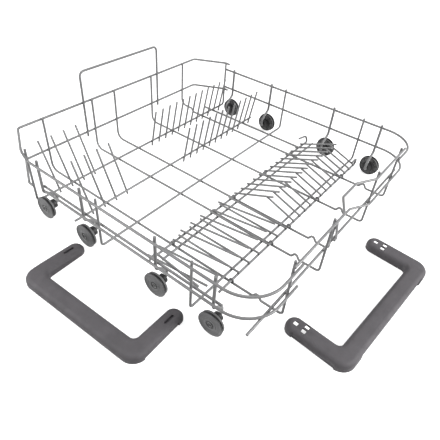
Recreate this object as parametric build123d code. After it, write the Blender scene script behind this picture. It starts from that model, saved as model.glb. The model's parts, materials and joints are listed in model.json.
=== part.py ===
from build123d import *
import os
from math import cos, radians, sin

# Lower dishwasher basket of coated round wire, on eight wheels, with four folding plate racks
# and two clip-on grips that lie beside it.
# Millimetres. +X right, +Y back, +Z up. Z 0 is the track that the wheels run on, and the origin
# is under the middle of the basket.

# Wire thicknesses
RIM_WIRE = 4.0          # rims, rails and the back arch
FLOOR_WIRE = 3.8        # long wires, cross wires and floor rods
WHEEL_WIRE = 4.6        # bent wires that carry the wheels
TINE_WIRE = 3.4         # fixed and folding tines
AXLE_WIRE = 3.8         # rods that the folding racks turn on
STAPLE_WIRE = 2.2       # staples that hold the rack axles down

# Clearances
WELD_GAP = 0.05         # coating left between wires that are welded together
RUN_GAP = 0.3           # air between pieces that move past each other
AXLE_FIT = 0.08         # radial play of a turning piece on its shaft
SAME = 1e-6             # lengths closer than this are the same
CREASE_GRID = 0.001     # edges of two faces are one edge if their middles agree this well
TOP_NORMAL = 0.9        # a face belongs to a grip's top if its normal is this nearly upright

# Plan of the basket
SIDE_X = 255.0          # side rims
FRONT_Y = -239.0        # front rims
BACK_Y = 265.3          # back rails
FRONT_CORNER_R = 53.0
BACK_CORNER_INSET = 35.0    # where the back rails turn towards the sides
BACK_CORNER_R = 9.0
BACK_TURN_GAP = 3.0     # those turns start this far behind the rear cross wire
BACK_STUB = 12.0        # length of the back rails along the sides

# Heights
FLOOR_Z = 16.2          # long wires
LOWER_RIM_Z = 61.5
UPPER_RIM_Z = 102.0
MID_RAIL_Z = 55.5       # lower back rail
TOP_RAIL_Z = 115.5      # upper back rail
FRONT_RAIL_Z = 117.4    # short rail over the front
UPRIGHT_LIP = 2.5       # uprights past the rail that they end at
SIDE_LIP = 7.0          # side uprights past the upper rim
TALL_LIP = 17.0         # rear side uprights past the upper rim

# Ends of the rims and rails
RIM_STEP = 13.0         # run of the rise from the left rim to the back rail
LEFT_TAIL = 18.0        # left rims past the outer front upright
RIGHT_TAIL = 10.0       # right upper rim past the outer front upright
LEFT_LOWER_END_Y = 159.0
RIGHT_RIM_END_Y = 201.0
FRONT_RAIL_TAIL = 8.0   # short front rail past the outer front uprights
FRONT_LOWER_PROUD = 5.0     # lower front rail past the left rims
FRONT_LOWER_INSET = 47.0    # and short of the right rims
INNER_RAIL_FRONT_Y = -184.0
INNER_RAIL_BACK_Y = 176.0
INNER_RAIL_DROP = 2.5   # inner rail under the lower rim
JOG_DEPTH = 18.5        # step inward in the front rails
JOG_RUN = 34.0          # length of each slope of that step
UPPER_JOG_LEFT_X = -51.0
UPPER_JOG_RIGHT_X = 62.0
LOWER_JOG_LEFT_X = -54.0
LOWER_JOG_RIGHT_X = 72.0
LOWER_JOG_TAIL = 14.0   # lower right rim past its step

# Back arch
ARCH_LEFT_X = -90.5
ARCH_RIGHT_X = 97.0
ARCH_TOP_Z = 174.0
ARCH_CORNER_R = 9.0
ARCH_FOOT = 6.5         # legs below the lower back rail

# Bends
FLOOR_BEND_R = 6.0
BACK_BEND_R = 14.0
SOFT_BEND_R = 8.0
SMALL_BEND_R = 3.0

# Long wires of the floor
LEFT_OUTER_INSET = 79.0     # from the left rims
LEFT_INNER_INSET = 183.0
MIDDLE_X = -18.5
RIGHT_INNER_INSET = 175.3   # from the right rims
RIGHT_OUTER_INSET = 78.8
RIGHT_EDGE_INSET = 40.6
RIGHT_EDGE_BACK_Y = 225.0
HUMP_Y = -193.5         # small hump near the front
HUMP_RISE = 7.0
HUMP_TOP = 4.0
HUMP_SLOPE = 5.0
REAR_STEP_Y = 232.0     # raised rear length of the right outer wire
REAR_STEP_RUN = 7.0
REAR_STEP_RISE = 7.0
MIDDLE_LIP = 6.0        # middle wire's front end over the lower front rail

# Cross wires and floor rods
REAR_CROSS_Y = 198.4
MIDDLE_CROSS_Y = 38.9
FRONT_CROSS_Y = -136.8
TINE_ROD_Y = 112.6
REST_ROD_Y = -48.5
TINE_ROD_INSET = 8.0    # rod ends inside the side uprights
REST_ROD_LEFT_INSET = 39.0
REST_ROD_RIGHT_INSET = 8.0

# Fixed tines
TINE_FOOT = 7.5         # tine below the rod that it is welded to
LEFT_TINES = 4
LEFT_TINE_INSET = 48.5  # first left tine from the left rims
LEFT_TINE_PITCH = 25.1
LEFT_TINE_REACH = 87.0
LEFT_TINE_LEAN = 24.0   # degrees from upright, towards the back
RIGHT_TINES = 12
RIGHT_TINE_INSET = 24.4 # last right tine from the right rims
RIGHT_TINE_PITCH = 19.8
RIGHT_TINE_REACH = 72.5
RIGHT_TINE_LEAN = -10.0 # degrees, towards the front

# Folding racks: one pair of axles, each split into a left and a right rack
REAR_AXLE_Y = -35.8
FRONT_AXLE_Y = -149.4
RACK_SPLIT_X = -25.0
RACK_SPLIT_GAP = 4.0
REAR_LEFT_AXLE_INSET = 28.5 # axle ends from the rims
FRONT_LEFT_AXLE_INSET = 50.0
REAR_RIGHT_AXLE_INSET = 13.0
FRONT_RIGHT_AXLE_INSET = 19.0
HOOK_RISE = 11.0        # hooks at the right ends of the axles
HOOK_BACK = 5.0
HOOK_REACH = 20.0
HOOK_BEND_R = 4.0
LEVER_RISE = 26.0       # lever at the rear left axle's end: up, then forward and down
LEVER_FORWARD = 14.0
LEVER_REACH = 94.0
LEVER_DROP = 11.0
LEVER_BEND_R = 5.0
REAR_LEFT_TINES = 8
REAR_LEFT_X = -51.5
REAR_LEFT_PITCH = -24.2
REAR_LEFT_REACH = 106.0
REAR_LEFT_TAIL = 8.3    # tine behind its axle
REAR_LEFT_TILT = 8.8    # degrees up from flat
REAR_RIGHT_TINES = 13
REAR_RIGHT_X = -12.0
REAR_RIGHT_PITCH = 19.2
REAR_RIGHT_REACH = 80.0
REAR_RIGHT_TAIL = 2.5
REAR_RIGHT_TILT = 22.5
FRONT_LEFT_TINES = 6
FRONT_LEFT_X = -30.5
FRONT_LEFT_PITCH = -25.9
FRONT_LEFT_REACH = 116.0
FRONT_LEFT_TAIL = 3.0
FRONT_LEFT_TILT = 0.3
FRONT_RIGHT_TINES = 13
FRONT_RIGHT_X = -6.5
FRONT_RIGHT_PITCH = 19.2
FRONT_RIGHT_REACH = 60.0
FRONT_RIGHT_TAIL = 2.5
FRONT_RIGHT_TILT = 20.0

# Wheels
WHEEL_R = 19.6
WHEEL_INNER_Y = 74.1    # inner pairs, before and behind the middle
WHEEL_OUTER_Y = 173.5   # outer pairs
WHEEL_PROUD = 0.4       # outer faces of the wheels past the rims
FLANGE_WIDTH = 3.4      # outer disc
GROOVE_WIDTH = 1.4
GROOVE_R = 15.8
TREAD_WIDTH = 3.4       # inner disc
TREAD_R = 18.6
HUB_STEP_R = 11.0
HUB_STEP_WIDTH = 2.4
HUB_R = 7.5
HUB_WIDTH = 9.5
FACE_LIP = 2.6          # raised ring round the edge of the face
FACE_DISH = 0.7         # face between that ring and the middle boss
FACE_BOSS_R = 9.6
FACE_RECESS_R = 6.4
FACE_RECESS = 1.6
WHEEL_EDGE_R = 0.8
CAP_R = 5.0
CAP_WIDTH = 1.5
WHEEL_WIRE_LIP = 7.0    # wheel wires past the upper rim
CRANK_IN = 20.5         # wheel wires step in under the side
CRANK_TOP_Z = 51.0
CRANK_LOW_Z = 33.0
SHAFT_BEND_R = 4.5      # turn into the wheel's shaft

# Clip-on grips
GRIP_CROWN_R = 7.4          # rounding of the upper edges
GRIP_INNER_R = 7.0
GRIP_OUTER_R = 21.0
GRIP_TIP_FLAT = 0.6         # short straight edge across each arm's tip
GRIP_PROUD = 1.4            # corners and tips stand proud of the outer sides between them
GRIP_CORNER_LENGTH = 19.0   # corners along the arms
GRIP_TIP_LENGTH = 17.0
SIDE_GRIP_LENGTH = 223.3
SIDE_GRIP_DEPTH = 100.7
SIDE_GRIP_ARM = 26.3
SIDE_GRIP_BAR = 27.1
SIDE_GRIP_THICK = 12.8
SIDE_TIP_THICK = 9.6        # arms slope down to this at the tips
SLOPE_START = 34.0          # slope begins this far from the bar's outer edge
SIDE_GRIP_TURN = 2.1
SIDE_GRIP_MID_Y = -27.0
SIDE_GRIP_GAP = 2.7         # arm tips from the wheels
POCKET_LENGTH = 18.0
POCKET_WIDTH = 4.2
POCKET_DEPTH = 3.5
POCKET_INSET = 14.7         # pocket from the arm's tip
POCKET_OUT = 1.0            # pocket from the arm's middle, outward
FRONT_GRIP_LENGTH = 254.3
FRONT_GRIP_DEPTH = 101.6
FRONT_GRIP_ARM = 27.3
FRONT_GRIP_BAR = 27.0
FRONT_GRIP_THICK = 14.7
FRONT_GRIP_TURN = -4.6
FRONT_GRIP_MID_X = -68.5
FRONT_GRIP_REACH = 114.9    # bar's outer edge in front of the front rims
BAR_CORNER_LENGTH = 38.0    # front grip's corners along its bar
HOLLOW_LENGTH = 36.0        # front grip's arms are hollow under the tips
HOLLOW_WALL = 4.0
HOLLOW_TOP = 2.4
WINDOW = 6.6                # square windows through the top of that hollow
WINDOW_INSET = 13.1         # first window from the arm's tip
WINDOW_PITCH = 14.6
WINDOW_SPREAD = 4.6         # pair of windows either side of their middle
WINDOW_IN = 1.5             # that middle from the arm's middle, inward

# Places across the basket
LEFT_OUTER_X = LEFT_OUTER_INSET - SIDE_X
LEFT_INNER_X = LEFT_INNER_INSET - SIDE_X
RIGHT_INNER_X = SIDE_X - RIGHT_INNER_INSET
RIGHT_OUTER_X = SIDE_X - RIGHT_OUTER_INSET
RIGHT_EDGE_X = SIDE_X - RIGHT_EDGE_INSET
BACK_CORNER_X = SIDE_X - BACK_CORNER_INSET
LEFT_TINE_X = LEFT_TINE_INSET - SIDE_X
RIGHT_TINE_X = SIDE_X - RIGHT_TINE_INSET - (RIGHT_TINES - 1) * RIGHT_TINE_PITCH
WHEEL_FACE_X = SIDE_X + WHEEL_PROUD

# Layers of wire, each lying against the last
SIDE_UPRIGHT_X = SIDE_X - (RIM_WIRE + FLOOR_WIRE) / 2 - WELD_GAP
WHEEL_UPRIGHT_X = SIDE_X - (RIM_WIRE + WHEEL_WIRE) / 2 - WELD_GAP
INNER_RAIL_X = WHEEL_UPRIGHT_X - (WHEEL_WIRE + RIM_WIRE) / 2 - WELD_GAP
FRONT_UPRIGHT_Y = FRONT_Y + (RIM_WIRE + FLOOR_WIRE) / 2 + WELD_GAP
FRONT_LOWER_Y = FRONT_UPRIGHT_Y + (RIM_WIRE + FLOOR_WIRE) / 2 + WELD_GAP
FRONT_LOWER_Z = LOWER_RIM_Z - RIM_WIRE - WELD_GAP
BACK_UPRIGHT_Y = BACK_Y - (RIM_WIRE + FLOOR_WIRE) / 2 - WELD_GAP
ARCH_Y = BACK_Y - RIM_WIRE - WELD_GAP
CROSS_Z = FLOOR_Z + FLOOR_WIRE + WELD_GAP
RACK_AXLE_Z = FLOOR_Z + (FLOOR_WIRE + AXLE_WIRE) / 2 + RUN_GAP
LONG_TOP_Z = FLOOR_Z + FLOOR_WIRE / 2
BACK_SIDE_Y = REAR_CROSS_Y + FLOOR_WIRE / 2 + BACK_TURN_GAP
LONG_WIRES = (LEFT_OUTER_X, LEFT_INNER_X, MIDDLE_X, RIGHT_INNER_X, RIGHT_OUTER_X, RIGHT_EDGE_X)

os.makedirs("parts", exist_ok=True)


def save(name, *solids):
    """Write one node: a single solid, or several like pieces side by side."""
    shape = solids[0] if len(solids) == 1 else Compound(children=list(solids))
    shape.label = name
    export_step(shape, f"parts/{name}.step")


def bent_wire(points, radii, thickness):
    """Round wire along straight runs, with one bend radius for each corner."""
    path = FilletPolyline(*points, radius=radii)
    start = Vector(*points[0])
    section = Plane(origin=start, z_dir=Vector(*points[1]) - start) * Circle(thickness / 2)
    return sweep(section, path=path).solid()


def straight_wire(start, end, thickness):
    """Round wire from one point to another."""
    run = Vector(*end) - Vector(*start)
    place = Plane(origin=start, z_dir=run)
    rod = Cylinder(thickness / 2, run.length, align=(Align.CENTER, Align.CENTER, Align.MIN))
    return (place * rod).solid()


def over_long_wire(x):
    """Whether a tine at x would meet one of the long wires of the floor."""
    reach = (TINE_WIRE + FLOOR_WIRE) / 2 + RUN_GAP
    return any(abs(x - wire_x) < reach for wire_x in LONG_WIRES)


def rims():
    """Upper and lower rims of the sides, and the rails across the back and front."""
    save("upper_rim_left", bent_wire(
        [
            (LEFT_OUTER_X + LEFT_TAIL, FRONT_Y, UPPER_RIM_Z),
            (-SIDE_X, FRONT_Y, UPPER_RIM_Z),
            (-SIDE_X, BACK_SIDE_Y - RIM_STEP, UPPER_RIM_Z),
            (-SIDE_X, BACK_SIDE_Y, TOP_RAIL_Z),
            (-BACK_CORNER_X, BACK_Y, TOP_RAIL_Z),
            (BACK_CORNER_X, BACK_Y, TOP_RAIL_Z),
            (SIDE_X, BACK_SIDE_Y, TOP_RAIL_Z),
            (SIDE_X, BACK_SIDE_Y - BACK_STUB, TOP_RAIL_Z),
        ],
        [FRONT_CORNER_R, SOFT_BEND_R, SOFT_BEND_R, BACK_CORNER_R, BACK_CORNER_R, SOFT_BEND_R],
        RIM_WIRE,
    ))
    save("upper_rim_right", bent_wire(
        [
            (SIDE_X, RIGHT_RIM_END_Y, UPPER_RIM_Z),
            (SIDE_X, FRONT_Y, UPPER_RIM_Z),
            (RIGHT_OUTER_X - RIGHT_TAIL, FRONT_Y, UPPER_RIM_Z),
        ],
        [FRONT_CORNER_R],
        RIM_WIRE,
    ))
    save("lower_rim_left", bent_wire(
        [
            (LEFT_OUTER_X + LEFT_TAIL, FRONT_Y, LOWER_RIM_Z),
            (-SIDE_X, FRONT_Y, LOWER_RIM_Z),
            (-SIDE_X, LEFT_LOWER_END_Y, LOWER_RIM_Z),
        ],
        [FRONT_CORNER_R],
        RIM_WIRE,
    ))
    inside = FRONT_Y + JOG_DEPTH
    save("lower_rim_right", bent_wire(
        [
            (SIDE_X, RIGHT_RIM_END_Y, LOWER_RIM_Z),
            (SIDE_X, FRONT_Y, LOWER_RIM_Z),
            (LOWER_JOG_RIGHT_X, FRONT_Y, LOWER_RIM_Z),
            (LOWER_JOG_RIGHT_X - JOG_RUN, inside, LOWER_RIM_Z),
            (LOWER_JOG_LEFT_X + JOG_RUN, inside, LOWER_RIM_Z),
            (LOWER_JOG_LEFT_X, FRONT_Y, LOWER_RIM_Z),
            (LOWER_JOG_LEFT_X - LOWER_JOG_TAIL, FRONT_Y, LOWER_RIM_Z),
        ],
        [FRONT_CORNER_R, SOFT_BEND_R, SOFT_BEND_R, SOFT_BEND_R, SOFT_BEND_R],
        RIM_WIRE,
    ))
    save("front_upper_rail", bent_wire(
        [
            (RIGHT_OUTER_X + FRONT_RAIL_TAIL, FRONT_Y, FRONT_RAIL_Z),
            (UPPER_JOG_RIGHT_X, FRONT_Y, FRONT_RAIL_Z),
            (UPPER_JOG_RIGHT_X - JOG_RUN, inside, FRONT_RAIL_Z),
            (UPPER_JOG_LEFT_X + JOG_RUN, inside, FRONT_RAIL_Z),
            (UPPER_JOG_LEFT_X, FRONT_Y, FRONT_RAIL_Z),
            (LEFT_OUTER_X - FRONT_RAIL_TAIL, FRONT_Y, FRONT_RAIL_Z),
        ],
        [SOFT_BEND_R, SOFT_BEND_R, SOFT_BEND_R, SOFT_BEND_R],
        RIM_WIRE,
    ))
    save("front_lower_rail", straight_wire(
        (-SIDE_X - FRONT_LOWER_PROUD, FRONT_LOWER_Y, FRONT_LOWER_Z),
        (SIDE_X - FRONT_LOWER_INSET, FRONT_LOWER_Y, FRONT_LOWER_Z),
        RIM_WIRE,
    ))
    inner_z = LOWER_RIM_Z - INNER_RAIL_DROP
    save("left_inner_rail", straight_wire(
        (-INNER_RAIL_X, INNER_RAIL_FRONT_Y, inner_z),
        (-INNER_RAIL_X, INNER_RAIL_BACK_Y, inner_z),
        RIM_WIRE,
    ))
    save("back_mid_rail", bent_wire(
        [
            (-SIDE_X, BACK_SIDE_Y - BACK_STUB, MID_RAIL_Z),
            (-SIDE_X, BACK_SIDE_Y, MID_RAIL_Z),
            (-BACK_CORNER_X, BACK_Y, MID_RAIL_Z),
            (BACK_CORNER_X, BACK_Y, MID_RAIL_Z),
            (SIDE_X, BACK_SIDE_Y, MID_RAIL_Z),
            (SIDE_X, BACK_SIDE_Y - BACK_STUB, MID_RAIL_Z),
        ],
        [SOFT_BEND_R, BACK_CORNER_R, BACK_CORNER_R, SOFT_BEND_R],
        RIM_WIRE,
    ))
    arch_foot_z = MID_RAIL_Z - ARCH_FOOT
    save("back_arch", bent_wire(
        [
            (ARCH_LEFT_X, ARCH_Y, arch_foot_z),
            (ARCH_LEFT_X, ARCH_Y, ARCH_TOP_Z),
            (ARCH_RIGHT_X, ARCH_Y, ARCH_TOP_Z),
            (ARCH_RIGHT_X, ARCH_Y, arch_foot_z),
        ],
        [ARCH_CORNER_R, ARCH_CORNER_R],
        RIM_WIRE,
    ))


def cross_wire(y, lip):
    """Floor wire across the basket, turned up at both sides to stand inside the rims."""
    top_z = UPPER_RIM_Z + lip
    return bent_wire(
        [
            (-SIDE_UPRIGHT_X, y, top_z),
            (-SIDE_UPRIGHT_X, y, CROSS_Z),
            (SIDE_UPRIGHT_X, y, CROSS_Z),
            (SIDE_UPRIGHT_X, y, top_z),
        ],
        [FLOOR_BEND_R, FLOOR_BEND_R],
        FLOOR_WIRE,
    )


def long_wire(x, front_top_z, rear_rise=0.0):
    """Floor wire from back to front, turned up at both ends, with a hump near the front."""
    back_z = FLOOR_Z + rear_rise
    points = [(x, BACK_UPRIGHT_Y, TOP_RAIL_Z + UPRIGHT_LIP), (x, BACK_UPRIGHT_Y, back_z)]
    radii = [BACK_BEND_R]
    if rear_rise:
        points += [(x, REAR_STEP_Y, back_z), (x, REAR_STEP_Y - REAR_STEP_RUN, FLOOR_Z)]
        radii += [SMALL_BEND_R, SMALL_BEND_R]
    half_top = HUMP_TOP / 2
    half_foot = half_top + HUMP_SLOPE
    points += [
        (x, HUMP_Y + half_foot, FLOOR_Z),
        (x, HUMP_Y + half_top, FLOOR_Z + HUMP_RISE),
        (x, HUMP_Y - half_top, FLOOR_Z + HUMP_RISE),
        (x, HUMP_Y - half_foot, FLOOR_Z),
        (x, FRONT_UPRIGHT_Y, FLOOR_Z),
        (x, FRONT_UPRIGHT_Y, front_top_z),
    ]
    radii += [SMALL_BEND_R, SMALL_BEND_R, SMALL_BEND_R, SMALL_BEND_R, FLOOR_BEND_R]
    return bent_wire(points, radii, FLOOR_WIRE)


def floor():
    """Cross wires, long wires and floor rods."""
    save("rear_cross_wire", cross_wire(REAR_CROSS_Y, TALL_LIP))
    save("middle_cross_wire", cross_wire(MIDDLE_CROSS_Y, SIDE_LIP))
    save("front_cross_wire", cross_wire(FRONT_CROSS_Y, SIDE_LIP))
    full_z = FRONT_RAIL_Z + UPRIGHT_LIP
    save("left_outer_wire", long_wire(LEFT_OUTER_X, full_z))
    save("left_inner_wire", long_wire(LEFT_INNER_X, full_z))
    save("middle_wire", long_wire(MIDDLE_X, FRONT_LOWER_Z + MIDDLE_LIP))
    save("right_inner_wire", long_wire(RIGHT_INNER_X, full_z))
    save("right_outer_wire", long_wire(RIGHT_OUTER_X, full_z, REAR_STEP_RISE))
    edge_front_y = REAR_AXLE_Y + AXLE_WIRE / 2 + RUN_GAP
    save("right_edge_wire", straight_wire(
        (RIGHT_EDGE_X, edge_front_y, FLOOR_Z),
        (RIGHT_EDGE_X, RIGHT_EDGE_BACK_Y, FLOOR_Z),
        FLOOR_WIRE,
    ))
    save("tine_rod", straight_wire(
        (TINE_ROD_INSET - SIDE_UPRIGHT_X, TINE_ROD_Y, CROSS_Z),
        (SIDE_UPRIGHT_X - TINE_ROD_INSET, TINE_ROD_Y, CROSS_Z),
        FLOOR_WIRE,
    ))
    save("rack_rest_rod", straight_wire(
        (REST_ROD_LEFT_INSET - SIDE_UPRIGHT_X, REST_ROD_Y, CROSS_Z),
        (SIDE_UPRIGHT_X - REST_ROD_RIGHT_INSET, REST_ROD_Y, CROSS_Z),
        FLOOR_WIRE,
    ))


def fixed_tines(rod_y, first_x, pitch, count, reach, lean):
    """Row of tines welded to a floor rod, behind it if they lean back and before it if not."""
    angle = radians(lean)
    along = Vector(0, sin(angle), cos(angle))
    outward = Vector(0, cos(angle), -sin(angle)) * (1 if lean > 0 else -1)
    offset = (FLOOR_WIRE + TINE_WIRE) / 2 + WELD_GAP
    row = []
    for number in range(count):
        x = first_x + number * pitch
        middle = Vector(x, rod_y, CROSS_Z) + outward * offset
        foot = TINE_FOOT
        if over_long_wire(x):
            foot = (middle.Z - LONG_TOP_Z - TINE_WIRE / 2) / cos(angle)
        row.append(straight_wire(middle - along * foot, middle + along * reach, TINE_WIRE))
    return row


def tine_rows():
    """Fixed tines along the rear cross wire and the tine rod."""
    left = (LEFT_TINE_X, LEFT_TINE_PITCH, LEFT_TINES, LEFT_TINE_REACH, LEFT_TINE_LEAN)
    right = (RIGHT_TINE_X, RIGHT_TINE_PITCH, RIGHT_TINES, RIGHT_TINE_REACH, RIGHT_TINE_LEAN)
    save("rear_left_tines", *fixed_tines(REAR_CROSS_Y, *left))
    save("rear_right_tines", *fixed_tines(REAR_CROSS_Y, *right))
    save("middle_left_tines", *fixed_tines(TINE_ROD_Y, *left))
    save("middle_right_tines", *fixed_tines(TINE_ROD_Y, *right))


def rack_tines(axle_y, heading, first_x, pitch, count, reach, tail, tilt):
    """Tines across the top of a rack axle, pointing to the front (heading -1) or the back (1)."""
    angle = radians(tilt)
    along = Vector(0, heading * cos(angle), sin(angle))
    upward = Vector(0, -heading * sin(angle), cos(angle))
    offset = (AXLE_WIRE + TINE_WIRE) / 2 + WELD_GAP
    row = []
    for number in range(count):
        x = first_x + number * pitch
        middle = Vector(x, axle_y, RACK_AXLE_Z) + upward * offset
        back = AXLE_WIRE / 2 if over_long_wire(x) else tail
        row.append(straight_wire(middle - along * back, middle + along * reach, TINE_WIRE))
    return row


def axle_staple(x, axle_y):
    """Staple that stands on a long wire and reaches over a rack axle."""
    half = AXLE_WIRE / 2 + AXLE_FIT + STAPLE_WIRE / 2
    foot_z = LONG_TOP_Z + WELD_GAP
    top_z = RACK_AXLE_Z + half
    return bent_wire(
        [
            (x, axle_y - half, foot_z),
            (x, axle_y - half, top_z),
            (x, axle_y + half, top_z),
            (x, axle_y + half, foot_z),
        ],
        [half - WELD_GAP, half - WELD_GAP],
        STAPLE_WIRE,
    )


def lever_axle(inner_x, outer_x, axle_y):
    """Axle whose outer end turns up into a lever that slopes down to the front."""
    top_z = RACK_AXLE_Z + LEVER_RISE
    return bent_wire(
        [
            (inner_x, axle_y, RACK_AXLE_Z),
            (outer_x, axle_y, RACK_AXLE_Z),
            (outer_x, axle_y - LEVER_FORWARD, top_z),
            (outer_x, axle_y - LEVER_REACH, top_z - LEVER_DROP),
        ],
        [LEVER_BEND_R, LEVER_BEND_R],
        AXLE_WIRE,
    )


def hooked_axle(inner_x, outer_x, axle_y, back):
    """Axle whose outer end turns up and back over itself as a small hook."""
    top_z = RACK_AXLE_Z + HOOK_RISE
    return bent_wire(
        [
            (inner_x, axle_y, RACK_AXLE_Z),
            (outer_x, axle_y, RACK_AXLE_Z),
            (outer_x, axle_y + back, top_z),
            (outer_x - HOOK_REACH, axle_y + back + back, top_z),
        ],
        [HOOK_BEND_R, HOOK_BEND_R],
        AXLE_WIRE,
    )


def racks():
    """Four folding racks, each an axle with its tines, and the staples that hold the axles."""
    left_end = RACK_SPLIT_X - RACK_SPLIT_GAP / 2
    right_end = RACK_SPLIT_X + RACK_SPLIT_GAP / 2
    save("rear_left_axle", lever_axle(left_end, REAR_LEFT_AXLE_INSET - SIDE_X, REAR_AXLE_Y))
    save("front_left_axle", straight_wire(
        (FRONT_LEFT_AXLE_INSET - SIDE_X, FRONT_AXLE_Y, RACK_AXLE_Z),
        (left_end, FRONT_AXLE_Y, RACK_AXLE_Z),
        AXLE_WIRE,
    ))
    save("rear_right_axle", hooked_axle(
        right_end, SIDE_X - REAR_RIGHT_AXLE_INSET, REAR_AXLE_Y, HOOK_BACK,
    ))
    save("front_right_axle", hooked_axle(
        right_end, SIDE_X - FRONT_RIGHT_AXLE_INSET, FRONT_AXLE_Y, 0.0,
    ))
    for name, axle_y in (("rear", REAR_AXLE_Y), ("front", FRONT_AXLE_Y)):
        save(f"{name}_axle_staples", *[axle_staple(x, axle_y) for x in LONG_WIRES[:-1]])
    save("rear_left_rack_tines", *rack_tines(
        REAR_AXLE_Y, -1, REAR_LEFT_X, REAR_LEFT_PITCH, REAR_LEFT_TINES, REAR_LEFT_REACH,
        REAR_LEFT_TAIL, REAR_LEFT_TILT,
    ))
    save("rear_right_rack_tines", *rack_tines(
        REAR_AXLE_Y, -1, REAR_RIGHT_X, REAR_RIGHT_PITCH, REAR_RIGHT_TINES, REAR_RIGHT_REACH,
        REAR_RIGHT_TAIL, REAR_RIGHT_TILT,
    ))
    save("front_left_rack_tines", *rack_tines(
        FRONT_AXLE_Y, 1, FRONT_LEFT_X, FRONT_LEFT_PITCH, FRONT_LEFT_TINES, FRONT_LEFT_REACH,
        FRONT_LEFT_TAIL, FRONT_LEFT_TILT,
    ))
    save("front_right_rack_tines", *rack_tines(
        FRONT_AXLE_Y, 1, FRONT_RIGHT_X, FRONT_RIGHT_PITCH, FRONT_RIGHT_TINES, FRONT_RIGHT_REACH,
        FRONT_RIGHT_TAIL, FRONT_RIGHT_TILT,
    ))


def wheel_wire(side, y):
    """Wire from the rims down to a wheel, cranked inward and turned out as the wheel's shaft."""
    low_x = WHEEL_UPRIGHT_X - CRANK_IN
    shaft_end = WHEEL_FACE_X - FACE_RECESS + RUN_GAP
    return bent_wire(
        [
            (side * WHEEL_UPRIGHT_X, y, UPPER_RIM_Z + WHEEL_WIRE_LIP),
            (side * WHEEL_UPRIGHT_X, y, CRANK_TOP_Z),
            (side * low_x, y, CRANK_LOW_Z),
            (side * low_x, y, WHEEL_R),
            (side * shaft_end, y, WHEEL_R),
        ],
        [SOFT_BEND_R, SOFT_BEND_R, SHAFT_BEND_R],
        WHEEL_WIRE,
    )


def wheel(side, y):
    """Wheel with two discs, a groove between them, a dished face and a stepped hub inside."""
    bore = WHEEL_WIRE / 2 + AXLE_FIT
    face = WHEEL_FACE_X
    recess = face - FACE_RECESS
    lip = WHEEL_R - FACE_LIP
    dish = face - FACE_DISH
    flange = face - FLANGE_WIDTH
    groove = flange - GROOVE_WIDTH
    tread = groove - TREAD_WIDTH
    step = tread - HUB_STEP_WIDTH
    hub = step - HUB_WIDTH
    section = Polyline(
        (hub, bore), (hub, HUB_R), (step, HUB_R), (step, HUB_STEP_R), (tread, HUB_STEP_R),
        (tread, TREAD_R), (groove, TREAD_R), (groove, GROOVE_R), (flange, GROOVE_R),
        (flange, WHEEL_R), (face, WHEEL_R), (face, lip), (dish, lip - FACE_DISH),
        (dish, FACE_BOSS_R + FACE_DISH), (face, FACE_BOSS_R), (face, FACE_RECESS_R),
        (recess, FACE_RECESS_R), (recess, bore), close=True,
    )
    turned = revolve(make_face(section), axis=Axis.X).solid()
    circles = turned.edges().filter_by(GeomType.CIRCLE)
    outer_edges = [edge for edge in circles if edge.radius > TREAD_R - SAME]
    turned = turned.fillet(WHEEL_EDGE_R, outer_edges)
    if side < 0:
        turned = turned.mirror(Plane.YZ)
    return turned.moved(Location((0, y, WHEEL_R)))


def wheel_cap(side, y):
    """Clip on the end of a wheel's shaft, in the hollow of the wheel's face."""
    inner = WHEEL_FACE_X - FACE_RECESS + RUN_GAP
    place = Plane(origin=(side * inner, y, WHEEL_R), z_dir=(side, 0, 0))
    cap = Cylinder(CAP_R, CAP_WIDTH, align=(Align.CENTER, Align.CENTER, Align.MIN))
    return (place * cap).solid()


def running_gear():
    """Eight wheels on their wires, with a cap on each shaft."""
    stations = (
        ("front", -WHEEL_OUTER_Y),
        ("front_middle", -WHEEL_INNER_Y),
        ("rear_middle", WHEEL_INNER_Y),
        ("rear", WHEEL_OUTER_Y),
    )
    caps = []
    for hand, side in (("left", -1), ("right", 1)):
        for place, y in stations:
            save(f"{hand}_{place}_wheel_wire", wheel_wire(side, y))
            save(f"{hand}_{place}_wheel", wheel(side, y))
            caps.append(wheel_cap(side, y))
    save("wheel_caps", *caps)


def grip_outline(length, depth, arm, bar):
    """Outline of a grip: a bar with its outer edge on the X axis, and two arms towards +Y."""
    outside = Rectangle(length, depth, align=(Align.CENTER, Align.MIN))
    opening = Pos(0, bar) * Rectangle(length - 2 * arm, depth, align=(Align.CENTER, Align.MIN))
    outline = outside - opening
    low = outline.vertices().filter_by(lambda v: abs(v.Y) < SAME)
    outline = fillet(low, GRIP_OUTER_R)
    inner = outline.vertices().filter_by(lambda v: abs(v.Y - bar) < SAME)
    outline = fillet(inner, GRIP_INNER_R)
    tips = outline.vertices().filter_by(lambda v: abs(v.Y - depth) < SAME)
    return fillet(tips, (arm - GRIP_TIP_FLAT) / 2)


def crown(grip):
    """Round the upper edges of a grip, leaving the creases where its top changes slope."""
    tops = grip.faces().filter_by(lambda face: face.normal_at().Z > TOP_NORMAL)
    seen = {}
    for face in tops:
        for edge in face.edges():
            key = tuple(round(value) for value in edge.center() / CREASE_GRID)
            seen.setdefault(key, []).append(edge)
    rim = [edges[0] for edges in seen.values() if len(edges) == 1]
    return grip.fillet(GRIP_CROWN_R, rim)


def relieve_arms(grip, length, depth):
    """Set the arms' outer sides back between the corners and the tips."""
    run = depth - GRIP_CORNER_LENGTH - GRIP_TIP_LENGTH
    cut = Box(2 * GRIP_PROUD, run, depth, align=(Align.CENTER, Align.MIN, Align.CENTER))
    for side in (-1, 1):
        grip = (grip - Pos(side * length / 2, GRIP_CORNER_LENGTH, 0) * cut).solid()
    return grip


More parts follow.
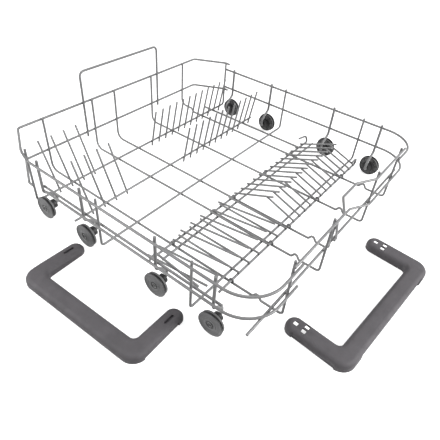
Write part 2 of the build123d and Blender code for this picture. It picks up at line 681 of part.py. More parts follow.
def side_grip():
    """Grip with arms that thin towards round tips, each with a pocket on top."""
    half = SIDE_GRIP_LENGTH / 2
    outline = grip_outline(SIDE_GRIP_LENGTH, SIDE_GRIP_DEPTH, SIDE_GRIP_ARM, SIDE_GRIP_BAR)
    profile = Polyline(
        (0, 0), (0, SIDE_GRIP_THICK), (SLOPE_START, SIDE_GRIP_THICK),
        (SIDE_GRIP_DEPTH, SIDE_TIP_THICK), (SIDE_GRIP_DEPTH, 0), close=True,
    )
    envelope = extrude(Plane.YZ * make_face(profile), half, both=True)
    grip = crown((extrude(outline, SIDE_GRIP_THICK) & envelope).solid())
    grip = relieve_arms(grip, SIDE_GRIP_LENGTH, SIDE_GRIP_DEPTH)
    slope = (SIDE_GRIP_THICK - SIDE_TIP_THICK) / (SIDE_GRIP_DEPTH - SLOPE_START)
    pocket_y = SIDE_GRIP_DEPTH - POCKET_INSET - POCKET_LENGTH / 2
    pocket_z = SIDE_TIP_THICK + slope * (SIDE_GRIP_DEPTH - pocket_y) - POCKET_DEPTH
    slot = extrude(SlotOverall(POCKET_LENGTH, POCKET_WIDTH, rotation=90), SIDE_GRIP_THICK)
    for side in (-1, 1):
        pocket_x = side * (half - SIDE_GRIP_ARM / 2 + POCKET_OUT)
        grip = (grip - Pos(pocket_x, pocket_y, pocket_z) * slot).solid()
    return grip


def front_grip():
    """Grip with three square windows near each arm's tip, over a hollow that is open below."""
    half = FRONT_GRIP_LENGTH / 2
    outline = grip_outline(FRONT_GRIP_LENGTH, FRONT_GRIP_DEPTH, FRONT_GRIP_ARM, FRONT_GRIP_BAR)
    grip = crown(extrude(outline, FRONT_GRIP_THICK).solid())
    grip = relieve_arms(grip, FRONT_GRIP_LENGTH, FRONT_GRIP_DEPTH)
    bar_run = FRONT_GRIP_LENGTH - 2 * BAR_CORNER_LENGTH
    grip = (grip - Box(bar_run, 2 * GRIP_PROUD, 2 * FRONT_GRIP_THICK)).solid()
    hollow = extrude(
        SlotOverall(HOLLOW_LENGTH, FRONT_GRIP_ARM - 2 * HOLLOW_WALL, rotation=90),
        FRONT_GRIP_THICK - HOLLOW_TOP,
    )
    hollow_y = FRONT_GRIP_DEPTH - HOLLOW_WALL - HOLLOW_LENGTH / 2
    first_y = FRONT_GRIP_DEPTH - WINDOW_INSET
    pane = Box(WINDOW, WINDOW, 2 * HOLLOW_TOP + RUN_GAP)
    for side in (-1, 1):
        arm_x = side * (half - FRONT_GRIP_ARM / 2)
        pair_x = arm_x - side * WINDOW_IN
        grip = (grip - Pos(arm_x, hollow_y, 0) * hollow).solid()
        places = [
            (arm_x, first_y),
            (pair_x - WINDOW_SPREAD, first_y - WINDOW_PITCH),
            (pair_x + WINDOW_SPREAD, first_y - WINDOW_PITCH),
        ]
        for x, y in places:
            grip = (grip - Pos(x, y, FRONT_GRIP_THICK) * pane).solid()
    return grip


def grips():
    """Two clip-on grips lying flat: one beside the left wheels, one before the front."""
    bar_x = -(WHEEL_FACE_X + SIDE_GRIP_GAP + SIDE_GRIP_DEPTH)
    lay_left = Pos(bar_x, SIDE_GRIP_MID_Y, 0) * Rot(0, 0, SIDE_GRIP_TURN - 90)
    save("side_grip", lay_left * side_grip())
    lay_front = Pos(FRONT_GRIP_MID_X, FRONT_Y - FRONT_GRIP_REACH, 0) * Rot(0, 0, FRONT_GRIP_TURN)
    save("front_grip", lay_front * front_grip())


rims()
floor()
tine_rows()
racks()
running_gear()
grips()
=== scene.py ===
import json
import math

import bpy
from bpy.props import FloatProperty, FloatVectorProperty, IntProperty, PointerProperty
from bpy.types import Operator, Panel, PropertyGroup
from mathutils import Matrix, Vector


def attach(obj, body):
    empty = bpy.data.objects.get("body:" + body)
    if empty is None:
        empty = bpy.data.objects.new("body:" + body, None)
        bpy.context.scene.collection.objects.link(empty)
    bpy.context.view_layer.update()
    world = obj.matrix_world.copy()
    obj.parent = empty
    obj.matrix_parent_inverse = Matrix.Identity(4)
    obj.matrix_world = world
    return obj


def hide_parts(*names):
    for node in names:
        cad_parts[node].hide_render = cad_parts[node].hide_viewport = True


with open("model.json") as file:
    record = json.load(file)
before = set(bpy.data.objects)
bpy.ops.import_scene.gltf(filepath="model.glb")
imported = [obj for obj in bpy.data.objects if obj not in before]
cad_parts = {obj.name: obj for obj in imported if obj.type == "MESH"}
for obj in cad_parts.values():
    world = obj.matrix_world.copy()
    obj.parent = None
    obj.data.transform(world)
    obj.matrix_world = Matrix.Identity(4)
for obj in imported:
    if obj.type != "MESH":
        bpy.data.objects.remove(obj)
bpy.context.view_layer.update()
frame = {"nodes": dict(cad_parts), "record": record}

bl_info = {
    "name": "Dishwasher basket",
    "version": (1, 0, 0),
    "blender": (4, 2, 0),
    "location": "View3D > Sidebar > Basket",
    "description": "Dresses a wire dishwasher basket and lights it for a studio picture",
    "category": "Object",
}

SIDES = (("left", -1), ("right", 1))
STATIONS = ("front", "front_middle", "rear_middle", "rear")

# Distance in metres within which loose corners of a mesh are one.
MERGE_REACH = 1e-6
# Angles in degrees: edges of the wires' cut ends are sharper than the first, and edges that stay
# crisp in the shading are sharper than the second.
WIRE_END_ANGLE = 60.0
CRISP_ANGLE = 40.0
# Steps across a rounded edge.
ROUND_STEPS = 3

# Rounding of the rims of a wheel's two discs, in millimetres.
RIM_ROUND = 0.8


def disc_edge(radius, top, bottom):
    """Rim of a disc with both its corners rounded, in millimetres."""
    middle = radius - RIM_ROUND
    turns = [math.radians(angle) for angle in (0, 45, 90)]
    reaches = [(middle + RIM_ROUND * math.sin(turn), RIM_ROUND * (1 - math.cos(turn))) for turn in turns]
    upper = [(reach, top - drop) for reach, drop in reaches]
    lower = [(reach, bottom + drop) for reach, drop in reversed(reaches)]
    return upper + lower


# Half sections in millimetres: radius, and height over the wheel's outer face.
WHEEL_RECESS = ((2.4, -1.6), (6.1, -1.6), (6.4, -1.4), (6.4, -0.3), (6.7, 0.0), (9.3, 0.0), (9.7, -0.12))
WHEEL_RINGS = (
    (10.3, -0.7), (11.5, -0.7), (11.8, -0.45), (12.3, -0.45), (12.6, -0.7), (14.0, -0.7),
    (14.3, -0.45), (14.8, -0.45), (15.1, -0.7), (16.3, -0.7), (16.9, -0.1), (17.2, 0.0),
)
WHEEL_GROOVE = ((16.1, -3.4), (15.8, -3.6), (15.8, -4.6), (16.1, -4.8))
WHEEL_WEB = ((17.2, -8.2), (16.9, -8.05), (16.7, -7.5), (12.0, -7.5), (11.4, -7.8))
WHEEL_HUB = (
    (11.0, -8.4), (11.0, -10.2), (10.6, -10.6), (7.9, -10.6), (7.5, -11.0), (7.5, -13.0),
    (6.9, -13.3), (6.9, -15.2), (7.5, -15.5), (7.5, -19.7), (7.1, -20.1), (2.7, -20.1), (2.4, -19.8),
)
WHEEL_SECTION = (
    *WHEEL_RECESS,
    *WHEEL_RINGS,
    *disc_edge(19.6, 0.0, -3.4),
    *WHEEL_GROOVE,
    *disc_edge(18.6, -4.8, -8.2),
    *WHEEL_WEB,
    *WHEEL_HUB,
    WHEEL_RECESS[0],
)
# The web that carries the ribs lies between these radii, below this height.
WEB_RADII = (12.0, 16.7)
WEB_HEIGHT = -7.0
# Clip on the end of the shaft, in the same measure.
CLIP_SECTION = (
    (1.0, -0.3), (1.8, -0.3), (2.1, -0.5), (2.1, -0.9), (5.0, -0.9), (5.3, -0.8), (5.6, -0.3),
    (5.8, -0.2), (6.1, -0.2), (6.2, -0.3), (6.2, -1.3), (6.05, -1.5), (1.0, -1.5),
)
CLIP_SEGMENTS = 32

# Depths behind the wheel's outer face in metres: where the black back starts and is full, and the
# middle and half width of a black band of painted shade round the rim's edge and groove.
BLACK_BACK = (0.0076, 0.0080)
PAINTED_RIM_SHADE = (0.0029, 0.0020)

# Spring ring: steps round its wire and along its turn, and the turn in degrees.
RING_SIDES = 12
RING_STEPS = 30
RING_TURN = 285.0

# Front bends set otherwise than in the frame: axis, range along it and shift, in millimetres.
RESET_BENDS = {
    "lower_rim_right": (
        (0, -62.0, -8.0, (15.0, 0.0, 0.0)),
        (0, -70.0, -62.0, (22.0, 0.0, 0.0)),
        (0, -50.0, -25.0, (0.0, 3.6, 0.0)),
    ),
    "middle_wire": ((1, -240.0, -215.0, (0.0, 12.5, 0.0)),),
}

# Front grip: place of its bar's outer edge in metres, turn in degrees, and the cuts under its
# tips in millimetres from that edge.
FRONT_GRIP_PLACE = (-0.0685, -0.3539, 0.0)
FRONT_GRIP_TURN = -4.6
TIP_CUT = (15.0, 25.0, 10.4)
TIP_CUT_ROUND = 1.2
TIP_CUT_PLACES = ((-104.5, 84.0), (122.5, 84.0))

# Lights: place, point aimed at and width in metres, and power in watts.
LIGHTS = {
    "left_light": ((-1.3, 0.9, 0.8), (0, 0, 0.05), 0.8, 18.0),
    "front_light": ((0.5, -1.7, 1.0), (0, 0, 0.05), 0.9, 40.0),
    "top_light": ((0.0, 0.2, 2.6), (0, 0, 0), 2.0, 18.0),
}
# Light that the surroundings and the floor give the basket, as a share of white.
DIM_WORLD = 0.1
DIM_FLOOR = 0.1
FLOOR_HEIGHT = -0.0005

# Camera: place in metres, turns in radians from a level look along Y, width of its sensor in
# millimetres, and the nearest that it sees in metres.
CAMERA_PLACE = (-0.53198, -0.36761, 0.49218)
CAMERA_YAW = 0.9632
CAMERA_PITCH = -0.7136
CAMERA_ROLL = 0.0895
SENSOR_WIDTH = 36.0
NEAREST_VIEW = 0.01


class BasketColours(PropertyGroup):
    """Colours of the coatings and plastics."""

    wire: FloatVectorProperty(
        name="Wire coating",
        description="Grey coating of the wires",
        subtype="COLOR",
        size=3,
        min=0.0,
        max=1.0,
        default=(0.24, 0.24, 0.243),
    )
    wheel_face: FloatVectorProperty(
        name="Wheel face",
        description="Outer disc of the wheels",
        subtype="COLOR",
        size=3,
        min=0.0,
        max=1.0,
        default=(0.165, 0.165, 0.168),
    )
    # This black is also painted as shade on the rim's edge and groove of the wheels.
    wheel_back_and_rim_shade: FloatVectorProperty(
        name="Wheel back",
        description="Inner disc and hub of the wheels",
        subtype="COLOR",
        size=3,
        min=0.0,
        max=1.0,
        default=(0.01, 0.01, 0.011),
    )
    clip: FloatVectorProperty(
        name="Shaft clip",
        description="Black clip on each wheel's shaft",
        subtype="COLOR",
        size=3,
        min=0.0,
        max=1.0,
        default=(0.012, 0.012, 0.013),
    )
    grip: FloatVectorProperty(
        name="Grip",
        description="Dark plastic of the clip-on grips",
        subtype="COLOR",
        size=3,
        min=0.0,
        max=1.0,
        default=(0.092, 0.086, 0.093),
    )
    floor: FloatVectorProperty(
        name="Floor",
        description="Pale studio floor",
        subtype="COLOR",
        size=3,
        min=0.0,
        max=1.0,
        default=(0.93, 0.93, 0.93),
    )


class BasketSizes(PropertyGroup):
    """Sizes of the finer details and of the stage."""

    tip_round: FloatProperty(
        name="Tip rounding",
        description="Rounding of the coating over the cut ends of the wires",
        unit="LENGTH",
        min=0.0,
        default=0.0008,
    )
    peel: FloatProperty(
        name="Coating ripple",
        description="Height of the ripple in the wire coating",
        unit="LENGTH",
        min=0.0,
        default=0.00002,
    )
    wheel_segments: IntProperty(
        name="Wheel segments",
        description="Steps round a wheel",
        min=16,
        default=72,
    )
    wheel_ribs: IntProperty(
        name="Wheel ribs",
        description="Ribs on the back of each wheel",
        min=1,
        default=9,
    )
    rib_height: FloatProperty(
        name="Rib height",
        description="Height of those ribs over the wheel's web",
        unit="LENGTH",
        min=0.0,
        default=0.0006,
    )
    ring_radius: FloatProperty(
        name="Ring radius",
        description="Radius of the spring ring on each shaft",
        unit="LENGTH",
        min=0.0,
        default=0.0034,
    )
    ring_wire: FloatProperty(
        name="Ring wire",
        description="Thickness of the spring ring's wire",
        unit="LENGTH",
        min=0.0,
        default=0.0012,
    )
    camera_focal: FloatProperty(
        name="Focal length",
        description="Focal length of the camera on a 36 mm sensor",
        subtype="DISTANCE_CAMERA",
        min=1.0,
        default=35.83,
    )
    floor_glow: FloatProperty(
        name="Floor glow",
        description="How much the floor shines to the camera, which keeps it white",
        min=0.0,
        default=0.75,
    )
    floor_size: FloatProperty(
        name="Floor size",
        description="Width of the studio floor",
        unit="LENGTH",
        min=1.0,
        default=14.0,
    )


def colours():
    return bpy.context.scene.basket_colours


def sizes():
    return bpy.context.scene.basket_sizes


def body_of(node):
    """Name of the body that carries a node of the frame."""
    for body, nodes in frame["record"]["behaviour"]["bodies"].items():
        if node in nodes:
            return body
    raise RuntimeError(f"no body carries {node}")


def nodes_in_slot(slot):
    """Names of the frame's nodes that the record gives to one material slot."""
    rows = frame["record"]["subparts"]
    nodes = [row["node"] for row in rows if row["material_slot"] == slot]
    if not nodes:
        raise RuntimeError(f"no node has the slot {slot}")
    return nodes


def feed(tree, socket, value):
    """Give a socket a value, or link it to another node's output."""
    if isinstance(value, bpy.types.NodeSocket):
        tree.links.new(value, socket)
    else:
        socket.default_value = value


def reckon(tree, operation, *values, clamp=False):
    """Output of a new Math node."""
    node = tree.nodes.new("ShaderNodeMath")
    node.operation = operation
    node.use_clamp = clamp
    for socket, value in zip(node.inputs, values):
        feed(tree, socket, value)
    return node.outputs["Value"]


class Shader:
    """Builder for one procedural material."""

    def __init__(self, name):
        self.material = bpy.data.materials.new(name)
        self.material.use_nodes = True
        self.tree = self.material.node_tree
        self.principled = self.tree.nodes["Principled BSDF"]
        self.coords = self.tree.nodes.new("ShaderNodeTexCoord").outputs["Object"]

    def noise(self, scale, detail):
        node = self.tree.nodes.new("ShaderNodeTexNoise")
        node.inputs["Scale"].default_value = scale
        node.inputs["Detail"].default_value = detail
        node.inputs["Roughness"].default_value = 0.55
        self.tree.links.new(self.coords, node.inputs["Vector"])
        return node.outputs["Fac"]

    def remap(self, value, low=0.0, high=1.0, start=0.3, end=0.7):
        node = self.tree.nodes.new("ShaderNodeMapRange")
        node.inputs["From Min"].default_value = start
        node.inputs["From Max"].default_value = end
        node.inputs["To Min"].default_value = low
        node.inputs["To Max"].default_value = high
        self.tree.links.new(value, node.inputs["Value"])
        return node.outputs["Result"]

    def tint(self, value, dark, light):
        node = self.tree.nodes.new("ShaderNodeMix")
        node.data_type = "RGBA"
        feed(self.tree, node.inputs["A"], dark)
        feed(self.tree, node.inputs["B"], light)
        self.tree.links.new(value, node.inputs["Factor"])
        return node.outputs["Result"]

    def bump(self, height, distance, strength):
        node = self.tree.nodes.new("ShaderNodeBump")
        node.inputs["Strength"].default_value = strength
        node.inputs["Distance"].default_value = distance
        self.tree.links.new(height, node.inputs["Height"])
        return node.outputs["Normal"]

    def set(self, socket, value):
        feed(self.tree, self.principled.inputs[socket], value)


def shade(colour, factor=1.0):
    """Opaque colour, darker or lighter by a factor."""
    return (*(min(1.0, channel * factor) for channel in colour), 1.0)


def wire_material():
    """Sprayed nylon coating: satin, slightly uneven, with a faint ripple."""
    shader = Shader("wire_coating")
    base = colours().wire
    patches = shader.remap(shader.noise(scale=22.0, detail=5.0))
    shader.set("Base Color", shader.tint(patches, shade(base, 0.9), shade(base, 1.1)))
    gloss = shader.noise(scale=160.0, detail=3.0)
    shader.set("Roughness", shader.remap(gloss, low=0.26, high=0.36))
    ripple = shader.noise(scale=420.0, detail=2.0)
    shader.set("Normal", shader.bump(ripple, distance=sizes().peel, strength=0.5))
    shader.set("Specular IOR Level", 0.5)
    return shader.material


def plastic_material(name, base, roughness, grain, height):
    """Moulded plastic with fine grain, slight mottling and uneven gloss."""
    shader = Shader(name)
    patches = shader.remap(shader.noise(scale=35.0, detail=5.0))
    shader.set("Base Color", shader.tint(patches, shade(base, 0.86), shade(base, 1.14)))
    finish_plastic(shader, roughness, grain, height)
    return shader.material


def finish_plastic(shader, roughness, grain, height):
    """Uneven gloss between two roughnesses, and grain of a given scale and height."""
    low, high = roughness
    gloss = shader.noise(scale=90.0, detail=4.0)
    shader.set("Roughness", shader.remap(gloss, low=low, high=high))
    pits = shader.noise(scale=grain, detail=3.0)
    shader.set("Normal", shader.bump(pits, distance=height, strength=0.6))


def seen_rays(tree):
    """One for rays that the camera sees straight, in gloss or through glass, and nought for others."""
    path = tree.nodes.new("ShaderNodeLightPath").outputs
    seen = path["Is Camera Ray"]
    for kind in ("Is Glossy Ray", "Is Transmission Ray"):
        seen = reckon(tree, "MAXIMUM", seen, path[kind])
    return seen


def show_bright(tree, output, dim, bright):
    """Show a bright surface to the rays that are seen, and a dim one to those that only light."""
    pick = tree.nodes.new("ShaderNodeMixShader")
    tree.links.new(seen_rays(tree), pick.inputs["Fac"])
    tree.links.new(dim, pick.inputs[1])
    tree.links.new(bright, pick.inputs[2])
    tree.links.new(pick.outputs["Shader"], tree.nodes[output].inputs["Surface"])


def deselect():
    if bpy.context.mode != "OBJECT":
        bpy.ops.object.mode_set(mode="OBJECT")
    bpy.ops.object.select_all(action="DESELECT")


def dress(obj, material):
    obj.data.materials.clear()
    obj.data.materials.append(material)


def activate(obj):
    deselect()
    obj.select_set(True)
    bpy.context.view_layer.objects.active = obj


def close_mesh():
    """Merge the corners of the mesh in edit mode, and turn its faces outward."""
    bpy.ops.mesh.select_all(action="SELECT")
    bpy.ops.mesh.remove_doubles(threshold=MERGE_REACH)
    bpy.ops.mesh.normals_make_consistent(inside=False)


def lathe(name, section, segments):
    """Turned form about the Z axis, drawn ring by ring through a section in millimetres."""
    profile = [(radius / 1000, height / 1000) for radius, height in section]
    deselect()
    radius, height = profile[0]
    bpy.ops.mesh.primitive_circle_add(vertices=segments, radius=radius, location=(0, 0, height))
    obj = bpy.context.object
    obj.name = name
    bpy.ops.object.transform_apply(location=True, rotation=True, scale=True)
    bpy.ops.object.mode_set(mode="EDIT")
    bpy.ops.mesh.select_mode(type="VERT")
    bpy.ops.mesh.select_all(action="SELECT")
    for next_radius, next_height in profile[1:]:
        bpy.ops.mesh.extrude_region_move(
            TRANSFORM_OT_translate={"value": (0, 0, next_height - height)}
        )
        if abs(next_radius - radius) > MERGE_REACH:
            ratio = next_radius / radius
            bpy.ops.transform.resize(value=(ratio, ratio, 1), center_override=(0, 0, next_height))
        radius, height = next_radius, next_height
    close_mesh()
    bpy.ops.object.mode_set(mode="OBJECT")
    return obj


def copy_of(obj, name):
    """Copy with a mesh of its own."""
    twin = obj.copy()
    twin.data = obj.data.copy()
    twin.name = name
    bpy.context.scene.collection.objects.link(twin)
    return twin


def copy_of_node(node, name):
    """New piece with a copy of a frame node's mesh."""
    piece = bpy.data.objects.new(name, frame["nodes"][node].data.copy())
    bpy.context.scene.collection.objects.link(piece)
    return piece


def merge_corners(obj):
    """Merge the loose triangles of a frame node's mesh."""
    obj.modifiers.new("weld", "WELD").merge_threshold = MERGE_REACH


def apply_modifiers(obj):
    activate(obj)
    for name in obj.modifiers.keys():
        bpy.ops.object.modifier_apply(modifier=name)


def settle(obj, matrix):
    """Put a finished form in its place, with its place in the vertices."""
    activate(obj)
    obj.matrix_world = matrix
    bpy.ops.object.transform_apply(location=True, rotation=True, scale=True)


def smooth(obj):
    activate(obj)
    bpy.ops.object.shade_smooth_by_angle(angle=math.radians(CRISP_ANGLE))


def stand_for(piece, node):
    """Let a new piece take the place of a frame node, on the node's body."""
    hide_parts(node)
    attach(piece, body_of(node))


def wheel_node(hand, station):
    return f"{hand}_{station}_wheel"


def wheel_place(node, side):
    """Place of a wheel: middle of its outer face, with the face's outward side as Z."""
    obj = frame["nodes"][node]
    corners = [obj.matrix_world @ Vector(corner) for corner in obj.bound_box]
    low = Vector(min(corner[axis] for corner in corners) for axis in range(3))
    high = Vector(max(corner[axis] for corner in corners) for axis in range(3))
    face = high.x if side > 0 else low.x
    return Matrix((
        (0, 0, side, face),
        (1, 0, 0, (low.y + high.y) / 2),
        (0, side, 0, (low.z + high.z) / 2),
        (0, 0, 0, 1),
    ))


def joined(pieces, name):
    """One piece out of several."""
    deselect()
    for piece in pieces:
        piece.select_set(True)
    bpy.context.view_layer.objects.active = pieces[0]
    bpy.ops.object.join()
    pieces[0].name = name
    return pieces[0]


class BASKET_OT_wires(Operator):
    """Coat every wire of the frame"""

    bl_idname = "basket.wires"
    bl_label = "Wires"

    def execute(self, context):
        coating = wire_material()
        for node in nodes_in_slot("coated_wire"):
            reset = node in RESET_BENDS
            wire = self.reset_bends(node) if reset else frame["nodes"][node]
            dress(wire, coating)
            self.round_ends(wire)
            if reset:
                apply_modifiers(wire)
        return {"FINISHED"}

    def round_ends(self, wire):
        """Round the coating over a wire's cut ends."""
        merge_corners(wire)
        rounding = wire.modifiers.new("rounding", "BEVEL")
        rounding.limit_method = "ANGLE"
        rounding.angle_limit = math.radians(WIRE_END_ANGLE)
        rounding.width = sizes().tip_round
        rounding.segments = ROUND_STEPS

    def reset_bends(self, node):
        """Copy of a wire with its front bends moved."""
        piece = copy_of_node(node, f"{node}_reset")
        activate(piece)
        for axis, low, high, shift in RESET_BENDS[node]:
            bpy.ops.object.mode_set(mode="EDIT")
            bpy.ops.mesh.select_mode(type="VERT")
            bpy.ops.mesh.select_all(action="DESELECT")
            bpy.ops.object.mode_set(mode="OBJECT")
            for vertex in piece.data.vertices:
                vertex.select = low < vertex.co[axis] * 1000 < high
            bpy.ops.object.mode_set(mode="EDIT")
            bpy.ops.transform.translate(value=tuple(step / 1000 for step in shift))
            bpy.ops.object.mode_set(mode="OBJECT")
        stand_for(piece, node)
        return piece


class BASKET_OT_wheels(Operator):
    """Turn one wheel with its rings and ribs, and fit a copy at every station"""

    bl_idname = "basket.wheels"
    bl_label = "Wheels"

    def execute(self, context):
        pattern = lathe("wheel_pattern", WHEEL_SECTION, sizes().wheel_segments)
        self.raise_ribs(pattern)
        plastic = self.plastic()
        for hand, side in SIDES:
            for station in STATIONS:
                node = wheel_node(hand, station)
                piece = copy_of(pattern, f"{node}_turned")
                settle(piece, wheel_place(node, side))
                smooth(piece)
                dress(piece, plastic)
                stand_for(piece, node)
        bpy.data.objects.remove(pattern)
        return {"FINISHED"}

    def raise_ribs(self, pattern):
        """Raise narrow ribs out of the web on the wheel's back."""
        inner, outer = (radius / 1000 for radius in WEB_RADII)
        count, steps = sizes().wheel_ribs, sizes().wheel_segments
        starts = {round(steps * index / count) for index in range(count)}
        activate(pattern)
        bpy.ops.object.mode_set(mode="EDIT")
        bpy.ops.mesh.select_mode(type="FACE")
        bpy.ops.mesh.select_all(action="DESELECT")
        bpy.ops.object.mode_set(mode="OBJECT")
        for face in pattern.data.polygons:
            x, y, z = face.center
            at_back = face.normal.z < -0.9 and z < WEB_HEIGHT / 1000
            step = int(math.atan2(y, x) % math.tau / math.tau * steps)
            face.select = at_back and inner < math.hypot(x, y) < outer and step in starts
        bpy.ops.object.mode_set(mode="EDIT")
        rise = (0, 0, -sizes().rib_height)
        bpy.ops.mesh.extrude_region_move(TRANSFORM_OT_translate={"value": rise})
        bpy.ops.object.mode_set(mode="OBJECT")

    def plastic(self):
        """Moulded wheel: grey outer face, black back and hub, and painted shade in black round the rim's
        edge and groove.
        """
        shader = Shader("wheel_plastic")
        tree = shader.tree
        parts = tree.nodes.new("ShaderNodeSeparateXYZ")
        tree.links.new(shader.coords, parts.inputs["Vector"])
        reach = reckon(tree, "ABSOLUTE", parts.outputs["X"])
        hand, side = SIDES[-1]
        face = wheel_place(wheel_node(hand, STATIONS[0]), side).translation.x
        start, full = BLACK_BACK
        outside = shader.remap(reach, start=face - full, end=face - start)
        # Painted shade: a band round the rim's edge and groove takes the back's black and stands in for
        # the shade there.
        middle, half_width = PAINTED_RIM_SHADE
        rim_shade_mask = reckon(tree, "COMPARE", reach, face - middle, half_width)
        grey = reckon(tree, "SUBTRACT", outside, rim_shade_mask, clamp=True)
        mottle = shader.remap(shader.noise(scale=60.0, detail=5.0))
        light, dark = colours().wheel_face, colours().wheel_back_and_rim_shade
        front = shader.tint(mottle, shade(light, 0.82), shade(light))
        back = shader.tint(mottle, shade(dark, 0.7), shade(dark))
        shader.set("Base Color", shader.tint(grey, back, front))
        finish_plastic(shader, roughness=(0.42, 0.6), grain=700.0, height=0.00003)
        return shader.material


class BASKET_OT_clips(Operator):
    """Fit a black clip and a spring ring on the end of every wheel's shaft"""

    bl_idname = "basket.clips"
    bl_label = "Shaft clips"

    def execute(self, context):
        clip = lathe("clip_pattern", CLIP_SECTION, CLIP_SEGMENTS)
        self.close(clip)
        black = plastic_material(
            "clip_plastic", colours().clip, roughness=(0.35, 0.5), grain=500.0, height=0.00002
        )
        clips = self.fit(clip, "shaft_clips", black)
        stand_for(clips, "wheel_caps")
        steel = plastic_material(
            "spring_ring", colours().wire, roughness=(0.3, 0.42), grain=900.0, height=0.00001
        )
        rings = self.fit(self.spring_ring(), "spring_rings", steel)
        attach(rings, body_of("wheel_caps"))
        return {"FINISHED"}

    def fit(self, pattern, name, finish):
        """One piece with a copy of the pattern on every wheel's shaft."""
        copies = []
        for hand, side in SIDES:
            for station in STATIONS:
                node = wheel_node(hand, station)
                copies.append(copy_of(pattern, f"{name}_{node}"))
                settle(copies[-1], wheel_place(node, side))
        bpy.data.objects.remove(pattern)
        piece = joined(copies, name)
        smooth(piece)
        dress(piece, finish)
        return piece

    def close(self, clip):
        """Fill the clip's two open ends."""
        activate(clip)
        bpy.ops.object.mode_set(mode="EDIT")
        bpy.ops.mesh.select_all(action="DESELECT")
        bpy.ops.mesh.select_mode(type="EDGE")
        bpy.ops.mesh.select_non_manifold()
        bpy.ops.mesh.edge_face_add()
        bpy.ops.mesh.select_all(action="SELECT")
        bpy.ops.mesh.normals_make_consistent(inside=False)
        bpy.ops.object.mode_set(mode="OBJECT")

    def spring_ring(self):
        """Ring of round wire with a gap, lying on the clip."""
        radius, wire = sizes().ring_radius, sizes().ring_wire
        deselect()
        bpy.ops.mesh.primitive_circle_add(
            vertices=RING_SIDES,
            radius=wire / 2,
            fill_type="NGON",
            rotation=(math.pi / 2, 0, 0),
            location=(radius, 0, -wire / 3),
        )
        ring = bpy.context.object
        ring.name = "ring_pattern"
        bpy.ops.object.transform_apply(location=True, rotation=True, scale=True)
        bpy.ops.object.mode_set(mode="EDIT")
        bpy.ops.mesh.select_all(action="SELECT")
        bpy.ops.mesh.spin(
            steps=RING_STEPS,
            angle=math.radians(RING_TURN),
            center=(0, 0, 0),
            axis=(0, 0, 1),
            dupli=False,
        )
        close_mesh()
        bpy.ops.object.mode_set(mode="OBJECT")
        return ring


class BASKET_OT_grips(Operator):
    """Dress the two clip-on grips, and open the tips of the front one"""

    bl_idname = "basket.grips"
    bl_label = "Grips"

    def execute(self, context):
        plastic = plastic_material(
            "grip_plastic", colours().grip, roughness=(0.6, 0.75), grain=900.0, height=0.00006
        )
        dress(frame["nodes"]["side_grip"], plastic)
        piece = self.open_tips()
        dress(piece, plastic)
        smooth(piece)
        stand_for(piece, "front_grip")
        return {"FINISHED"}

    def open_tips(self):
        """Front grip with the far wall of each hollow tip cut away, so that its windows show light."""
        piece = copy_of_node("front_grip", "front_grip_opened")
        cutter = self.tip_cutter()
        merge_corners(piece)
        cut = piece.modifiers.new("cut", "BOOLEAN")
        cut.operation = "DIFFERENCE"
        cut.object = cutter
        apply_modifiers(piece)
        bpy.data.objects.remove(cutter)
        return piece

    def tip_cutter(self):
        """Two rounded bars, one along the far wall of each tip."""
        width, length, height = TIP_CUT
        bars = []
        for x, y in TIP_CUT_PLACES:
            deselect()
            bpy.ops.mesh.primitive_cube_add(size=1, location=(x, y, 0))
            bar = bpy.context.object
            bar.scale = (width, length, 2 * height)
            bpy.ops.object.transform_apply(location=True, rotation=True, scale=True)
            bpy.ops.object.mode_set(mode="EDIT")
            bpy.ops.mesh.select_all(action="SELECT")
            bpy.ops.mesh.bevel(offset=TIP_CUT_ROUND, segments=ROUND_STEPS, affect="EDGES")
            bpy.ops.object.mode_set(mode="OBJECT")
            bars.append(bar)
        cutter = joined(bars, "tip_cutter")
        turn = Matrix.Rotation(math.radians(FRONT_GRIP_TURN), 4, "Z")
        settle(cutter, Matrix.Translation(FRONT_GRIP_PLACE) @ turn @ Matrix.Scale(0.001, 4))
        return cutter


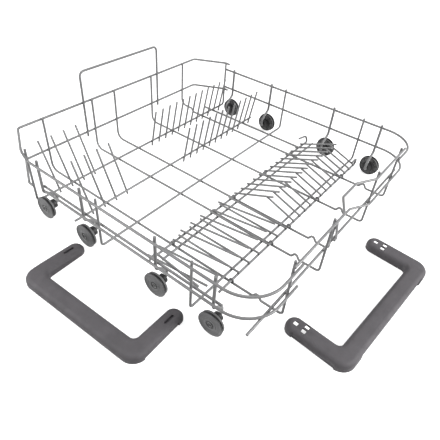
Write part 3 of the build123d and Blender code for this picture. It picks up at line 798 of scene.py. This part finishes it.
class BASKET_OT_stage(Operator):
    """Lay the floor, set the lights and place the camera"""

    bl_idname = "basket.stage"
    bl_label = "Stage"

    def execute(self, context):
        deselect()
        bpy.ops.mesh.primitive_plane_add(size=sizes().floor_size, location=(0, 0, FLOOR_HEIGHT))
        floor = context.object
        floor.name = "studio_floor"
        dress(floor, self.floor_material())
        self.surround(context)
        for name in LIGHTS:
            self.light(context, name)
        self.place_camera(context)
        context.scene.view_settings.view_transform = "Standard"
        return {"FINISHED"}

    def floor_material(self):
        """Pale floor: bright to the camera, dim as a reflector."""
        shader = Shader("studio_floor")
        base = colours().floor
        grain = shader.remap(shader.noise(scale=3.0, detail=2.0))
        shader.set("Base Color", shader.tint(grain, shade(base, 0.995), shade(base)))
        shader.set("Roughness", 0.9)
        shader.set("Specular IOR Level", 0.0)
        shader.set("Emission Color", (1.0, 1.0, 1.0, 1.0))
        shader.set("Emission Strength", sizes().floor_glow)
        dim = shader.tree.nodes.new("ShaderNodeBsdfDiffuse")
        dim.inputs["Color"].default_value = shade(base, DIM_FLOOR)
        bright = shader.principled.outputs["BSDF"]
        show_bright(shader.tree, "Material Output", dim.outputs["BSDF"], bright)
        return shader.material

    def surround(self, context):
        """White surroundings to the camera, dim as a light."""
        world = bpy.data.worlds.new("studio")
        context.scene.world = world
        world.use_nodes = True
        tree = world.node_tree
        dim = tree.nodes["Background"]
        white = tree.nodes.new("ShaderNodeBackground")
        for sky, strength in ((dim, DIM_WORLD), (white, 1.0)):
            sky.inputs["Color"].default_value = (1.0, 1.0, 1.0, 1.0)
            sky.inputs["Strength"].default_value = strength
        show_bright(tree, "World Output", dim.outputs["Background"], white.outputs["Background"])

    def light(self, context, name):
        """Soft square light from the list."""
        place, target, width, power = LIGHTS[name]
        light = bpy.data.lights.new(name, "AREA")
        light.size = width
        light.energy = power
        lamp = bpy.data.objects.new(name, light)
        context.scene.collection.objects.link(lamp)
        lamp.location = place
        aim = Vector(target) - Vector(place)
        lamp.rotation_euler = aim.to_track_quat("-Z", "Y").to_euler()

    def place_camera(self, context):
        """Camera above the left front corner."""
        ahead = Vector((
            math.sin(CAMERA_YAW) * math.cos(CAMERA_PITCH),
            math.cos(CAMERA_YAW) * math.cos(CAMERA_PITCH),
            math.sin(CAMERA_PITCH),
        ))
        right = ahead.cross(Vector((0, 0, 1))).normalized()
        up = right.cross(ahead)
        right, up = (
            math.cos(CAMERA_ROLL) * right + math.sin(CAMERA_ROLL) * up,
            math.cos(CAMERA_ROLL) * up - math.sin(CAMERA_ROLL) * right,
        )
        lens = bpy.data.cameras.new("camera")
        lens.lens = sizes().camera_focal
        lens.sensor_width = SENSOR_WIDTH
        lens.clip_start = NEAREST_VIEW
        camera = bpy.data.objects.new("camera", lens)
        context.scene.collection.objects.link(camera)
        turn = Matrix((right, up, -ahead)).transposed()
        camera.matrix_world = Matrix.Translation(CAMERA_PLACE) @ turn.to_4x4()
        context.scene.camera = camera


class BASKET_PT_panel(Panel):
    """Steps of the basket, in the order they run"""

    bl_idname = "BASKET_PT_panel"
    bl_label = "Dishwasher basket"
    bl_space_type = "VIEW_3D"
    bl_region_type = "UI"
    bl_category = "Basket"

    def draw(self, context):
        layout = self.layout
        for step in STEPS:
            layout.operator(step.bl_idname)
        for group in (context.scene.basket_colours, context.scene.basket_sizes):
            for name in group.bl_rna.properties.keys():
                if name not in {"rna_type", "name"}:
                    layout.prop(group, name)


STEPS = (
    BASKET_OT_wires, BASKET_OT_wheels, BASKET_OT_clips, BASKET_OT_grips, BASKET_OT_stage,
)
CLASSES = (BasketColours, BasketSizes, *STEPS, BASKET_PT_panel)


def register():
    for item in CLASSES:
        bpy.utils.register_class(item)
    bpy.types.Scene.basket_colours = PointerProperty(type=BasketColours)
    bpy.types.Scene.basket_sizes = PointerProperty(type=BasketSizes)


def unregister():
    del bpy.types.Scene.basket_sizes
    del bpy.types.Scene.basket_colours
    for item in reversed(CLASSES):
        bpy.utils.unregister_class(item)


def main():
    register()
    bpy.ops.basket.wires()
    bpy.ops.basket.wheels()
    bpy.ops.basket.clips()
    bpy.ops.basket.grips()
    bpy.ops.basket.stage()


if __name__ == "__main__":
    main()
